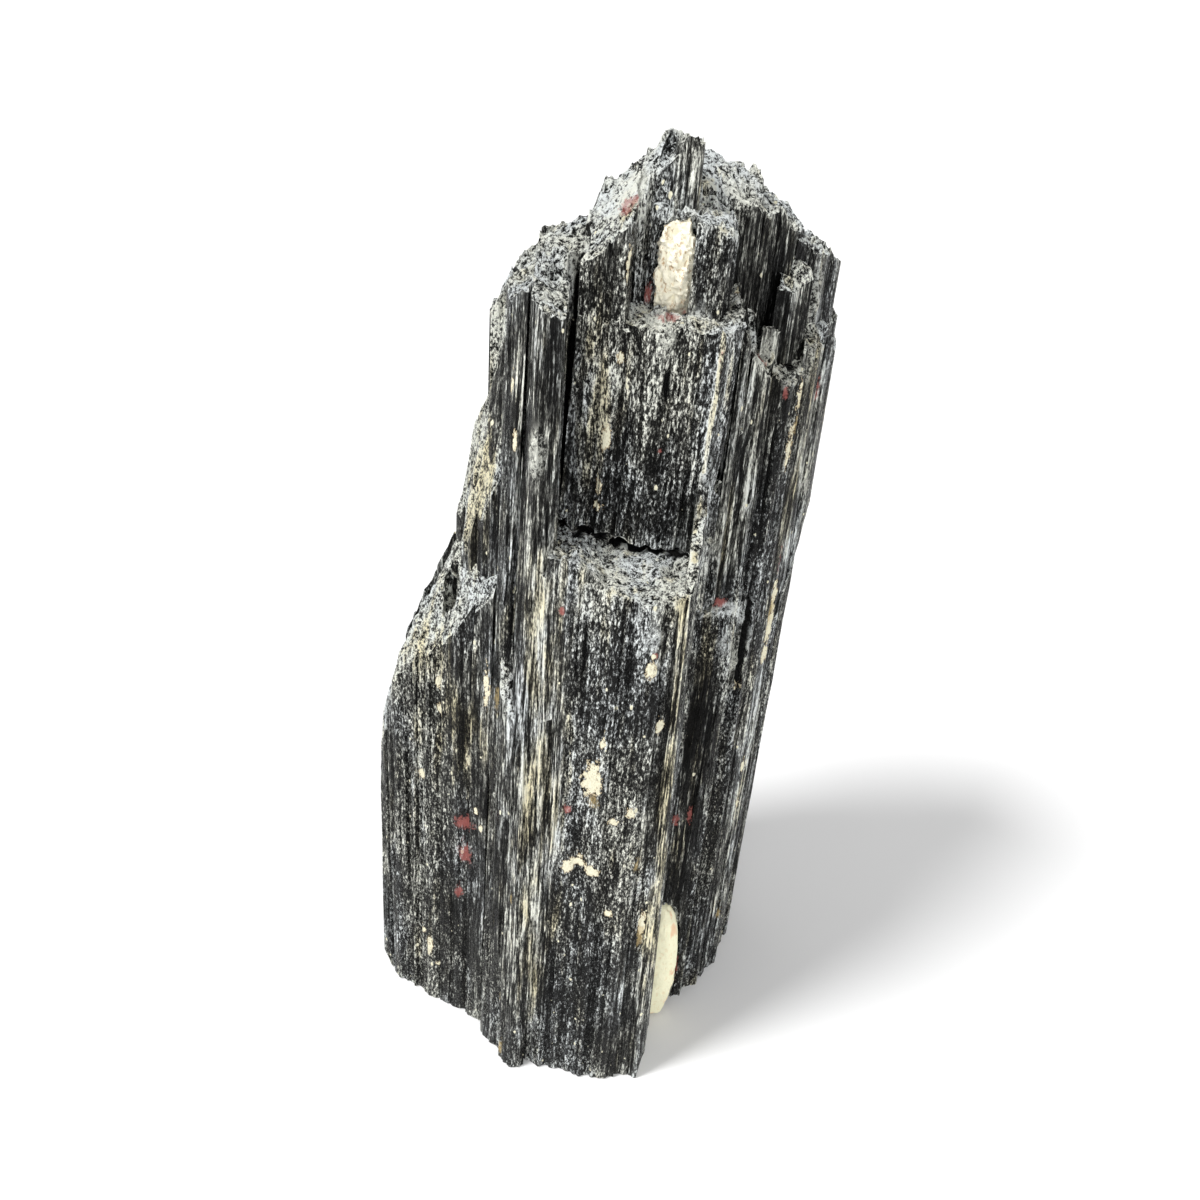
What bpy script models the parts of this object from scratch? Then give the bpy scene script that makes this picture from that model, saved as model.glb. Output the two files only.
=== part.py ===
"""A broken cluster of black tourmaline (schorl): parallel prisms grown side by side into one solid,
with two lumps of cream feldspar caught in it. Metres, +Z up along the prisms, standing on its broken base.

Plan points are in millimetres from the foremost edge of the base: x to the right, y to the back.
Each prism is a fluted outline, extruded and given a rough broken top. All of them are joined into one."""

import math
import random

import bmesh
import bpy
from mathutils import Vector, noise

MM = 0.001
HEIGHT = 121.0  # base to the tip of the spire
PLAN_CENTRE = Vector((-6.5, 22.9))  # middle of the footprint, which becomes the origin
LEDGE_HEIGHT = 77.7  # where the front prism is broken off
STEP_HEIGHT = 104.3  # top of the block above that ledge

FLUTE_WIDTH = 2.0  # mean width of the narrow facets that make the growth lines
FLUTE_DEPTH = 0.55
TOP_GRID = 2.3  # spacing of the points that roughen a broken top
FOOT_ROUGHNESS = 0.4
SEAT_GAP = 0.35  # clearance between a feldspar lump and the tourmaline round it
BELOW_BASE = -3.0  # prisms start here and are all cut off at zero together
WELD = 0.01  # points closer than this are one point


# A prism is (corners, anticlockwise; top facets; options).
# A facet is (x, y, z, slope along x, slope along y).
# The top is the lowest of its facets. Options: lean (dx/dz, dy/dz), foot facets, roughness, flute depth.
PRISMS = {
    # front: the stout prism with the ledge, and the narrow strip down its right edge
    "front": (
        [
            (-12.0, 2.6), (-8.6, 1.1), (-5.6, 0.9), (-2.8, 0.1), (0.6, 0.0),
            (3.6, 0.9), (4.6, 4.0), (5.4, 20.0), (-12.0, 20.0),
        ],
        [(-2.7, 1.0, LEDGE_HEIGHT, -0.08, 0.2)],
        {"rough": 0.4, "foot": [(5.0, 0.0, -1.6, 0.5, -0.3)]},
    ),
    "strip": (
        [
            (3.9, 1.0), (4.5, 0.6), (5.3, 0.65), (5.75, 1.5),
            (6.1, 6.0), (6.2, 10.5), (3.6, 10.5), (3.4, 5.0),
        ],
        [(5.0, 2.0, 78.0, 0.0, 0.2)],
        {"rough": 0.3, "lean": (-0.016, 0.0), "flutes": 0.12, "foot": [(5.3, 1.5, 2.1, 5.0, -0.3)]},
    ),
    # the block above the ledge leans a little, with a crack under its overhanging foot
    "neck": (
        [(-9.2, 10.2), (4.8, 9.4), (5.2, 24.0), (-9.2, 24.0)],
        [(0.0, 10.0, 92.0, 0.0, 0.0)],
        {},
    ),
    "block": (
        [
            (-11.2, 8.8), (-7.2, 7.7), (-2.5, 7.1), (3.6, 7.3), (4.1, 8.5),
            (5.15, 10.0), (5.15, 14.0), (5.1, 24.0), (-10.4, 24.0),
        ],
        [(-2.0, 7.2, STEP_HEIGHT, 0.03, 0.12)],
        {"rough": 0.5, "lean": (0.034, 0.0), "lean_from": 60.0, "foot": [(-10.3, 8.0, 81.8, -0.19, 0.02)]},
    ),
    # above the step: two posts beside a dark slot and the hollow that holds the upper feldspar
    "left_post": (
        [(-9.6, 9.0), (-8.6, 8.3), (-5.5, 7.8), (-4.9, 8.6), (-4.7, 10.2), (-4.6, 20.0), (-9.2, 20.0)],
        [(-9.2, 8.5, 109.9, 1.1, 0.6), (-9.0, 16.0, 113.4, 3.0, -0.15), (-6.1, 15.0, 117.0, 0.9, -0.9)],
        {"rough": 0.25},
    ),
    "slot_back": (
        [(-5.2, 13.8), (-2.8, 13.6), (-2.8, 22.0), (-5.2, 22.0)],
        [(-4.0, 13.8, 117.6, 0.9, 0.9), (-4.0, 15.0, 118.6, 0.8, -0.2)],
        {"rough": 0.2},
    ),
    "hollow_back": (
        [(-3.4, 12.1), (1.5, 11.7), (1.5, 22.0), (-3.4, 22.0)],
        [(-1.0, 12.0, 114.6, -0.2, 0.35)],
        {"rough": 0.3},
    ),
    "right_post": (
        [(1.2, 10.0), (4.4, 9.8), (5.3, 11.0), (5.6, 20.0), (1.2, 20.0)],
        [(2.5, 10.5, 114.0, 0.05, 0.1), (4.2, 10.5, 113.6, -1.1, 0.1)],
        {"rough": 0.35},
    ),
    "spire": (
        [(-1.5, 13.1), (0.9, 12.8), (1.1, 15.5), (-0.6, 17.5), (-1.8, 16.0)],
        [(-0.4, 14.0, HEIGHT, 0.0, -0.1)],
        {"rough": 0.2, "flutes": 0.3},
    ),
    "spire_side": (
        [(-4.0, 12.9), (-1.2, 13.0), (-1.0, 17.0), (-4.2, 17.0)],
        [(-3.8, 13.0, 117.3, 1.0, 1.1), (-2.0, 15.0, 120.2, 0.1, -0.3)],
        {"rough": 0.25},
    ),
    "shoulder": (
        [(-9.5, 13.0), (-4.0, 12.0), (-2.0, 16.0), (-2.0, 25.0), (-9.5, 25.0)],
        [(-8.7, 10.0, 110.3, 0.84, 1.0), (-9.0, 16.0, 113.4, 3.0, -0.15), (-6.3, 15.5, 117.9, 0.95, -0.9)],
        {"rough": 0.3},
    ),
    # left of the block: slim prisms split by a deep crack that closes towards the base
    "slim_outer": (
        [
            (-17.7, 8.8), (-17.2, 6.0), (-15.9, 4.7), (-15.0, 4.2),
            (-14.9, 9.0), (-14.6, 20.0), (-17.6, 20.0),
        ],
        [(-15.4, 6.0, 106.6, 0.45, 0.05)],
        {"rough": 0.4, "lean": (0.006, 0.020)},
    ),
    "crack_fill": (
        [(-15.8, 4.5), (-14.0, 2.8), (-14.0, 10.0), (-17.0, 10.0)],
        [(-14.6, 4.0, 60.0, 0.0, 2.0)],
        {},
    ),
    "slim_inner": (
        [(-14.3, 2.5), (-12.7, 0.5), (-10.6, 1.1), (-10.6, 5.0), (-10.7, 20.0), (-14.3, 20.0)],
        [(-12.8, 3.0, 107.0, -0.35, 0.24), (-12.8, 16.0, 109.9, -0.1, -0.2)],
        {"rough": 0.45, "lean": (-0.001, 0.024)},
    ),
    "slim_back": (
        [(-14.2, 9.5), (-9.0, 10.5), (-8.8, 21.0), (-14.2, 21.0)],
        [(-12.8, 15.0, 110.4, 0.4, 0.3), (-12.0, 17.0, 111.2, 0.3, -0.4)],
        {"rough": 0.4},
    ),
    "left_back": (
        [
            (-19.2, 17.0), (-18.9, 13.0), (-18.0, 10.6), (-17.0, 9.4),
            (-15.6, 9.0), (-15.0, 22.0), (-18.8, 23.0),
        ],
        [(-15.5, 12.0, 106.4, 0.6, -0.05), (-18.3, 12.0, 104.2, 2.6, -0.15), (-17.0, 9.4, 84.0, 12.0, 9.0)],
        {"rough": 0.45},
    ),
    "left_flank": (
        [
            (-22.8, 17.6), (-21.6, 13.6), (-19.0, 10.6), (-17.0, 8.8),
            (-15.6, 9.0), (-15.4, 24.0), (-21.0, 25.0),
        ],
        [(-22.9, 17.0, 76.0, 5.9, 3.0), (-22.9, 17.0, 76.5, 6.2, -1.2), (-17.0, 10.0, 96.0, 0.0, -0.5)],
        {"rough": 0.5},
    ),
    # the stout left prism, cut by two slanting breaks that meet in a blunt ridge
    "left": (
        [
            (-33.0, 17.4), (-30.5, 14.8), (-25.5, 11.8), (-21.6, 10.0), (-17.6, 7.9),
            (-16.2, 10.5), (-16.2, 24.0), (-22.0, 27.5), (-28.0, 27.0), (-31.8, 23.0),
        ],
        [
            (-30.5, 14.8, 53.8, 2.37, 1.9), (-30.4, 17.0, 54.3, 2.6, -0.75),
            (-32.3, 17.0, 42.0, 9.0, 2.0), (-20.0, 12.0, 82.0, 0.0, 0.0),
        ],
        {"rough": 0.45, "lean": (0.004, 0.0), "foot": [(-31.3, 17.0, 0.0, -1.2, 0.4)]},
    ),
    # right of the block: slim prisms with gaps between them, on two lower ledges
    "right_slab": (
        [(7.0, 11.8), (7.6, 11.7), (7.9, 12.3), (8.0, 21.0), (7.0, 21.0)],
        [(7.2, 12.0, 103.2, -2.0, -0.5)],
        {"rough": 0.25, "flutes": 0.2, "foot": [(7.0, 12.0, 70.4, 0.1, -0.3)]},
    ),
    "right_slim_low": (
        [(4.6, 12.6), (6.9, 12.9), (7.2, 16.0), (7.2, 21.0), (4.6, 21.0)],
        [(5.6, 13.0, 84.0, 0.0, 0.0)],
        {"flutes": 0.2},
    ),
    "right_inner": (
        [(8.5, 12.9), (10.7, 13.4), (10.9, 24.0), (8.5, 24.0)],
        [(8.8, 13.0, 99.3, -0.75, 0.1)],
        {"rough": 0.45, "foot": [(11.0, 14.5, 2.3, 0.35, -0.2)]},
    ),
    "right_outer": (
        [(10.7, 14.4), (13.3, 16.0), (14.9, 18.8), (14.9, 27.0), (10.7, 27.0)],
        [(11.0, 14.4, 97.2, -0.25, 0.1)],
        {"rough": 0.5, "foot": [(11.0, 14.5, 2.2, 0.35, -0.2)]},
    ),
    "right_shade": (
        [(5.0, 11.9), (9.8, 13.1), (9.9, 20.0), (5.0, 20.0)],
        [(7.0, 12.5, 68.6, 0.1, 0.3)],
        {"rough": 0.25, "flutes": 0.15, "foot": [(11.0, 14.5, 2.4, 0.35, -0.2)]},
    ),
    "right_mid": (
        [(9.5, 13.6), (13.1, 15.6), (14.6, 19.0), (14.6, 27.0), (9.5, 27.0)],
        [(11.2, 14.2, 69.6, -0.4, 0.1)],
        {"rough": 0.6, "foot": [(11.0, 14.5, 2.3, 0.35, -0.2)]},
    ),
    "right_low": (
        [(9.4, 13.5), (11.3, 15.2), (13.2, 17.6), (15.2, 22.2), (15.4, 27.0), (9.4, 27.0)],
        [(9.5, 14.5, 62.6, -1.7, -0.1)],
        {"rough": 0.55, "foot": [(11.0, 14.5, 2.3, 0.35, -0.2)]},
    ),
    "right_edge": (
        [(14.3, 19.3), (15.8, 22.0), (17.5, 26.4), (19.0, 30.5), (18.9, 36.5), (14.0, 36.5)],
        [(17.0, 26.0, 99.4, -0.9, 0.35)],
        {"rough": 0.6, "lean": (0.003, 0.0), "foot": [(17.4, 29.0, 0.0, 1.5, 0.1)]},
    ),
    "right_burl": (
        [(14.5, 21.5), (17.5, 24.6), (19.8, 28.8), (20.0, 33.0), (14.5, 34.0)],
        [(18.6, 27.0, 98.0, -3.4, 0.4), (16.0, 27.0, 99.0, 0.0, 0.3)],
        {"rough": 0.6, "foot": [(18.4, 28.0, 66.0, 8.0, -1.0)]},
    ),
    "right_high": (
        [(13.6, 18.6), (16.4, 22.2), (17.8, 26.5), (17.6, 34.0), (13.6, 34.0)],
        [(15.0, 21.0, 97.0, -0.6, 0.75), (15.0, 27.0, 101.4, -0.6, -0.7)],
        {"rough": 0.5},
    ),
    # the tall block behind the right-hand prisms
    "crown_left": (
        [(0.8, 17.2), (5.9, 17.4), (8.1, 18.4), (8.5, 34.0), (0.8, 36.0)],
        [(1.0, 17.0, 116.2, -0.48, 0.5), (1.0, 24.0, 117.3, -0.2, -0.5)],
        {"rough": 0.45},
    ),
    "crown_mid": (
        [(7.9, 18.8), (12.0, 20.8), (13.2, 24.0), (13.2, 35.0), (7.9, 35.0)],
        [(9.7, 20.0, 112.9, -0.55, 0.35), (9.0, 25.0, 115.0, -0.9, -0.7), (12.0, 21.0, 111.3, -0.8, 0.1)],
        {"rough": 0.5},
    ),
    "crown_right": (
        [(12.5, 22.3), (15.9, 24.8), (18.3, 28.4), (18.0, 35.0), (12.5, 36.0)],
        [(13.0, 23.0, 110.0, -0.75, 0.15), (17.0, 28.0, 107.6, -0.4, -0.7)],
        {"rough": 0.45},
    ),
    # the back, lower towards the rear and left
    "core": (
        [
            (-20.0, 14.0), (-9.0, 9.7), (4.5, 13.4), (12.0, 20.0),
            (14.5, 30.0), (5.0, 38.0), (-12.0, 36.0), (-20.0, 26.0),
        ],
        [(0.0, 20.0, 90.0, 0.3, -0.5), (-10.0, 20.0, 84.0, 0.9, -0.5)],
        {},
    ),
    "back_left": (
        [(-30.0, 22.0), (-21.0, 20.0), (-15.0, 22.0), (-17.0, 36.0), (-24.0, 34.5), (-28.8, 29.0)],
        [(-22.0, 28.0, 66.0, 2.2, -1.3)],
        {"rough": 0.7},
    ),
    "back_left_tall": (
        [(-19.0, 22.0), (-12.0, 16.0), (-10.0, 38.0), (-16.5, 39.5), (-20.0, 34.0)],
        [(-15.0, 22.0, 104.0, 0.9, -0.9), (-18.0, 22.0, 98.0, 5.0, -0.9)],
        {"rough": 0.7},
    ),
    "back_mid": (
        [(-13.5, 13.0), (3.0, 15.0), (3.0, 41.0), (-4.0, 43.4), (-11.8, 41.0)],
        [(-11.0, 18.0, 108.9, 0.12, -0.1), (-5.0, 24.0, 108.9, 0.25, -0.8)],
        {"rough": 0.7},
    ),
    "back_right": (
        [(1.5, 26.0), (13.0, 26.0), (12.2, 41.4), (6.0, 43.2), (1.5, 42.0)],
        [(6.0, 32.0, 107.0, -0.4, -0.9)],
        {"rough": 0.7},
    ),
    "back_right_low": (
        [(11.0, 30.0), (18.3, 30.5), (17.8, 38.0), (11.5, 41.2)],
        [(14.0, 34.0, 86.0, -1.2, -1.1)],
        {"rough": 0.7},
    ),
    "back_rib": (
        [(-6.2, 39.0), (1.2, 39.5), (0.7, 45.2), (-5.2, 45.8)],
        [(-3.0, 43.0, 72.0, 0.5, -1.6)],
        {"rough": 0.5},
    ),
    "back_rib_low": (
        [(2.6, 40.0), (8.6, 39.8), (8.0, 44.4), (3.6, 45.0)],
        [(5.0, 43.0, 47.0, 0.8, -1.4)],
        {"rough": 0.4},
    ),
    "back_rib_left": (
        [(-17.6, 34.0), (-9.5, 37.0), (-10.4, 43.2), (-16.4, 41.6)],
        [(-14.0, 40.0, 58.0, 1.0, -1.5)],
        {"rough": 0.5},
    ),
    "left_foot": (
        [(-32.0, 20.5), (-26.0, 22.0), (-24.5, 31.5), (-29.8, 28.8)],
        [(-29.0, 26.0, 38.0, 2.2, -0.9)],
        {"rough": 0.4},
    ),
    # short pieces in front of the larger ones: the raised left end of the ledge, the crest that runs
    # from the strip up to the block's right-hand corner, two stepped pieces under that corner with a
    # notch between them, the floor of the narrow crack beside the slab, a rib on the slanting break,
    # and a shelf at the crown's right
    "ledge_end": (
        [(-10.9, 2.0), (-8.6, 1.2), (-5.6, 1.0), (-4.9, 1.2), (-4.6, 11.0), (-10.9, 11.0)],
        [(-5.8, 1.0, 78.8, -0.8, 0.1), (-8.7, 1.0, 80.8, -0.1, -0.05)],
        {"rough": 0.25, "foot": [(-8.0, 5.0, 60.0, 0.0, 0.0)]},
    ),
    "crest": (
        [
            (3.5, 1.5), (4.1, 1.1), (4.5, 1.5), (4.75, 4.0),
            (5.0, 6.5), (5.1, 9.0), (4.2, 9.0), (3.9, 6.0),
        ],
        [(4.3, 1.3, 78.8, 0.0, 1.75)],
        {"rough": 0.2, "flutes": 0.1, "foot": [(4.4, 5.0, 70.0, 0.0, 0.0)]},
    ),
    "step_upper": (
        [(5.2, 8.9), (6.7, 9.9), (6.9, 13.0), (5.2, 13.0)],
        [(5.2, 9.0, 85.8, -0.2, 0.1)],
        {"rough": 0.2, "flutes": 0.3, "foot": [(5.2, 9.0, 80.4, -0.1, 0.0)]},
    ),
    "step_lower": (
        [(4.8, 8.6), (6.2, 9.4), (6.7, 11.2), (6.9, 13.0), (4.8, 13.0)],
        [(5.2, 9.0, 79.6, -0.2, 0.1)],
        {"rough": 0.2, "flutes": 0.4, "foot": [(5.2, 9.0, 71.5, -0.4, -0.3)]},
    ),
    "right_crack_fill": (
        [(7.7, 12.6), (8.7, 13.0), (8.7, 17.0), (7.7, 17.0)],
        [(8.1, 12.8, 91.5, 0.0, 3.0)],
        {"foot": [(8.1, 12.8, 66.0, 0.0, 0.0)]},
    ),
    "band_rib": (
        [(9.5, 15.6), (11.2, 16.2), (11.4, 20.0), (9.5, 20.0)],
        [(10.3, 16.0, 102.4, -0.2, -0.5)],
        {"rough": 0.25, "flutes": 0.3},
    ),
    "crown_shelf": (
        [(10.6, 18.9), (12.2, 19.6), (14.6, 21.2), (15.0, 26.0), (10.6, 26.0)],
        [(11.0, 19.0, 105.3, -0.4, 1.2), (12.0, 22.0, 108.6, -0.6, -0.3)],
        {"rough": 0.5},
    ),
}

# Feldspar lumps: centre and half sizes in the plan frame, how square and how lumpy they are, and
# the height where a foot is cut off flat. The niche is a crevice in the slanting break on the left.
LENS = {"centre": (6.6, 12.5, 10.0), "half": (3.0, 2.2, 11.4), "square": 2.3, "lumps": 0.1, "foot": 0.4}
CRUST = {"centre": (-0.4, 11.9, 108.9), "half": (2.05, 1.15, 4.9), "square": 3.2, "lumps": 0.4}
NICHE = {"centre": (-22.9, 13.7, 68.6), "half": (0.75, 1.8, 3.6), "square": 2.0, "lumps": 0.4}

# The crack that splits the slim prisms: a thin leaning wedge that is cut out, closing towards the base.
CRACK = {
    "corners": [(-16.2, 1.0), (-15.6, 1.0), (-15.75, 10.5), (-15.95, 10.5)],
    "lean": 0.0135,
    "foot": (4.0, 58.0, 5.5),  # y, z and slope along y of its lower end
}


def world_mesh(name, bm):
    """Turns a bmesh in plan millimetres into a mesh in metres about the origin, its faces pointing out."""
    bmesh.ops.recalc_face_normals(bm, faces=bm.faces[:])
    bmesh.ops.translate(bm, verts=bm.verts[:], vec=(-PLAN_CENTRE.x, -PLAN_CENTRE.y, 0.0))
    bmesh.ops.scale(bm, verts=bm.verts[:], vec=(MM, MM, MM))
    mesh = bpy.data.meshes.new(name)
    bm.to_mesh(mesh)
    bm.free()
    return mesh


def fluted_outline(corners, seed, depth):
    """Breaks each side of a prism into narrow facets, each tilted in or out a little, as growth lines are."""
    rng = random.Random(seed)
    corners = [Vector(c) for c in corners]
    outline = []
    for start, end in zip(corners, corners[1:] + corners[:1]):
        along = (end - start).normalized()
        inward = Vector((-along.y, along.x))
        length = (end - start).length
        widths = [rng.uniform(0.6, 1.4) for _ in range(max(1, round(length / FLUTE_WIDTH)))]
        outline.append(start)
        reached = 0.0
        for width in widths[:-1]:
            step = length * width / sum(widths)
            reached += step
            room = min(depth, reached / 3, (length - reached) / 3)
            shares = [rng.uniform(0.0, 0.25), rng.uniform(0.6, 1.0)]
            rng.shuffle(shares)
            for share, shift in zip(shares, (-0.08, 0.08)):
                outline.append(start + along * (reached + shift * step) + inward * share * room)
    return outline


def lowest(facets, x, y):
    """Height of the lowest of the facets over a plan point."""
    return min(z + along_x * (x - x0) + along_y * (y - y0) for x0, y0, z, along_x, along_y in facets)


def highest(facets, x, y):
    return max(z + along_x * (x - x0) + along_y * (y - y0) for x0, y0, z, along_x, along_y in facets)


def roughness(x, y, seed, amount):
    """Lumps on a broken face: one broad and one narrow layer of noise."""
    broad = noise.noise(Vector((x * 0.30, y * 0.30, seed * 7.3)))
    narrow = noise.noise(Vector((x * 0.75, y * 0.75, seed * 3.1 + 50.0)))
    return amount * (1.6 * broad + 1.2 * narrow)


def grid_cut(bm, faces, spacing, turn):
    """Cuts flat faces into cells along two crossed sets of planes."""
    region = set(faces)
    xs = [v.co.x for f in faces for v in f.verts]
    ys = [v.co.y for f in faces for v in f.verts]
    middle = Vector(((min(xs) + max(xs)) / 2, (min(ys) + max(ys)) / 2, 0.0))
    reach = math.hypot(max(xs) - min(xs), max(ys) - min(ys)) / 2
    for angle in (turn, turn + math.pi / 2):
        normal = Vector((math.cos(angle), math.sin(angle), 0.0))
        offset = -reach
        while offset < reach:
            live = [f for f in region if f.is_valid]
            parts = set(live) | {e for f in live for e in f.edges} | {v for f in live for v in f.verts}
            cut = bmesh.ops.bisect_plane(
                bm, geom=list(parts), dist=1e-5, plane_co=middle + normal * offset, plane_no=normal
            )
            region = {g for g in cut["geom"] if isinstance(g, bmesh.types.BMFace)}
            offset += spacing
    return [f for f in region if f.is_valid]


def prism_mesh(name, seed):
    """One prism: fluted outline, extruded, its top (and a chipped foot) cut into cells and shaped."""
    corners, facets, options = PRISMS[name]
    lean = options.get("lean", (0.0, 0.0))
    lean_from = options.get("lean_from", 0.0)
    rough = options.get("rough", 0.0)
    foot = [(0.0, 0.0, BELOW_BASE - 0.05 * seed, 0.0, 0.0)] + options.get("foot", [])
    outline = fluted_outline(corners, seed, options.get("flutes", FLUTE_DEPTH))

    bm = bmesh.new()
    bottom = bm.faces.new([bm.verts.new((p.x, p.y, 0.0)) for p in outline])
    raised = bmesh.ops.extrude_face_region(bm, geom=[bottom])["geom"]
    top = next(g for g in raised if isinstance(g, bmesh.types.BMFace))
    bmesh.ops.translate(bm, verts=top.verts[:], vec=(0.0, 0.0, 1.0))
    top_faces = grid_cut(bm, [top], TOP_GRID, 0.5 + seed)
    foot_faces = [f for f in bm.faces if abs(f.normal.z) > 0.9 and f not in top_faces]
    if "foot" in options:
        foot_faces = grid_cut(bm, foot_faces, TOP_GRID, 0.2 + seed)
    for vertex in bm.verts:
        x, y, level = vertex.co
        if level > 0.5:
            z = lowest(facets, x, y) + roughness(x, y, seed, rough)
        else:
            z = highest(foot, x, y)
        if level < 0.5 and z > -1.0:
            z += roughness(x, y, seed + 40, FOOT_ROUGHNESS)
        sway = z - lean_from
        vertex.co = (x + lean[0] * sway, y + lean[1] * sway, z)
    bmesh.ops.triangulate(bm, faces=top_faces + foot_faces)
    return world_mesh(name, bm)


def cut_level(bm, height):
    """Cuts everything below a height away and closes the foot flat."""
    cut = bmesh.ops.bisect_plane(
        bm,
        geom=bm.verts[:] + bm.edges[:] + bm.faces[:],
        dist=1e-7,
        plane_co=(0.0, 0.0, height),
        plane_no=(0.0, 0.0, 1.0),
        clear_inner=True,
    )
    rim = [g for g in cut["geom_cut"] if isinstance(g, bmesh.types.BMEdge)]
    bmesh.ops.holes_fill(bm, edges=rim, sides=0)


def lump_mesh(name, lump, grow):
    """A lumpy, squarish ellipsoid. Grown a little, the same shape cuts the seat that the lump sits in."""
    bm = bmesh.new()
    bmesh.ops.create_icosphere(bm, subdivisions=3, radius=1.0)
    centre, half, power = Vector(lump["centre"]), Vector(lump["half"]), lump["square"]
    for vertex in bm.verts:
        direction = vertex.co.normalized()
        reach = sum(abs(d) ** power for d in direction) ** (-1.0 / power)
        reach *= 1.0 + lump["lumps"] * noise.noise(direction * 2.2 + centre)
        vertex.co = centre + Vector(d * h * reach for d, h in zip(direction, half))
    bm.normal_update()
    grown = [vertex.co + vertex.normal * grow for vertex in bm.verts]
    for vertex, place in zip(bm.verts, grown):
        vertex.co = place
    if "foot" in lump:
        cut_level(bm, lump["foot"] - 4 * grow)
    return world_mesh(name, bm)


def crack_mesh():
    """The leaning wedge, from its sloping lower end to well above the tops of the prisms."""
    foot_y, foot_z, slope = CRACK["foot"]
    bm = bmesh.new()
    rings = []
    for is_top in (False, True):
        ring = []
        for x, y in CRACK["corners"]:
            z = HEIGHT + 5.0 if is_top else foot_z + slope * (y - foot_y)
            ring.append(bm.verts.new((x + CRACK["lean"] * z, y, z)))
        rings.append(ring)
    low, high = rings
    bm.faces.new(low)
    bm.faces.new(high)
    for here in range(len(low)):
        there = (here + 1) % len(low)
        bm.faces.new((low[here], low[there], high[there], high[here]))
    bmesh.ops.triangulate(bm, faces=bm.faces[:])
    return world_mesh("crack", bm)


def boolean(obj, operation, operand):
    """Adds an exact Boolean with one object or with a whole collection."""
    modifier = obj.modifiers.new(operation.lower(), "BOOLEAN")
    modifier.operation = operation
    modifier.solver = "EXACT"
    if isinstance(operand, bpy.types.Collection):
        modifier.operand_type = "COLLECTION"
        modifier.collection = operand
    else:
        modifier.object = operand


def add_object(name, mesh, collection):
    made = bpy.data.objects.new(name, mesh)
    collection.objects.link(made)
    return made


def material(name, colour, roughness_value):
    made = bpy.data.materials.new(name)
    made.use_nodes = True
    shader = made.node_tree.nodes["Principled BSDF"]
    shader.inputs["Base Color"].default_value = (*colour, 1.0)
    shader.inputs["Roughness"].default_value = roughness_value
    return made


def joined_prisms(parts, helpers):
    """All prisms joined into one solid that stands on a flat base."""
    first, *others = PRISMS
    crystal = add_object("tourmaline_crystal", prism_mesh(first, 0), parts)
    for seed, name in enumerate(others, start=1):
        add_object("prism_" + name, prism_mesh(name, seed), helpers)
    boolean(crystal, "UNION", helpers)
    graph = bpy.context.evaluated_depsgraph_get()
    bm = bmesh.new()
    bm.from_mesh(crystal.evaluated_get(graph).data)
    crystal.modifiers.clear()
    cut_level(bm, 0.0)
    bmesh.ops.remove_doubles(bm, verts=bm.verts[:], dist=WELD * MM)
    bm.to_mesh(crystal.data)
    bm.free()
    for helper in list(helpers.objects):
        bpy.data.objects.remove(helper)
    return crystal


def main():
    for obj in list(bpy.data.objects):
        bpy.data.objects.remove(obj)
    parts = bpy.data.collections.new("tourmaline specimen")
    helpers = bpy.data.collections.new("prisms")
    cutters = bpy.data.collections.new("cutters")
    for collection in (parts, helpers, cutters):
        bpy.context.scene.collection.children.link(collection)

    crystal = joined_prisms(parts, helpers)
    crystal.data.materials.append(material("tourmaline black", (0.016, 0.016, 0.017), 0.35))
    cream = material("feldspar cream", (0.70, 0.60, 0.42), 0.85)
    for name, lump in (("feldspar_lens", LENS), ("feldspar_crust", CRUST)):
        add_object(name, lump_mesh(name, lump, 0.0), parts).data.materials.append(cream)
    hollows = {"lens_seat": LENS, "crust_seat": CRUST, "niche": NICHE}
    meshes = {name: lump_mesh(name, hollow, SEAT_GAP) for name, hollow in hollows.items()}
    meshes["crack"] = crack_mesh()
    for name, mesh in meshes.items():
        cutter = add_object(name, mesh, cutters)
        cutter.hide_render = True
        cutter.display_type = "WIRE"
        boolean(crystal, "DIFFERENCE", cutter)


main()
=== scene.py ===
# %% [markdown]
# # A cluster of black tourmaline
#
# The real thing is one stone: dozens of parallel prisms that grew side by side, broken off at
# different heights. Two lumps of cream feldspar are caught between them.
#
# The solids are already made, with every prism at its true place and size. This lesson dresses them:
# it gives the stone its fine growth lines, its grainy broken ends and its stains.

import math

import bmesh
import bpy
import numpy as np
from mathutils import Matrix, Vector, noise
from mathutils.bvhtree import BVHTree


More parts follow.
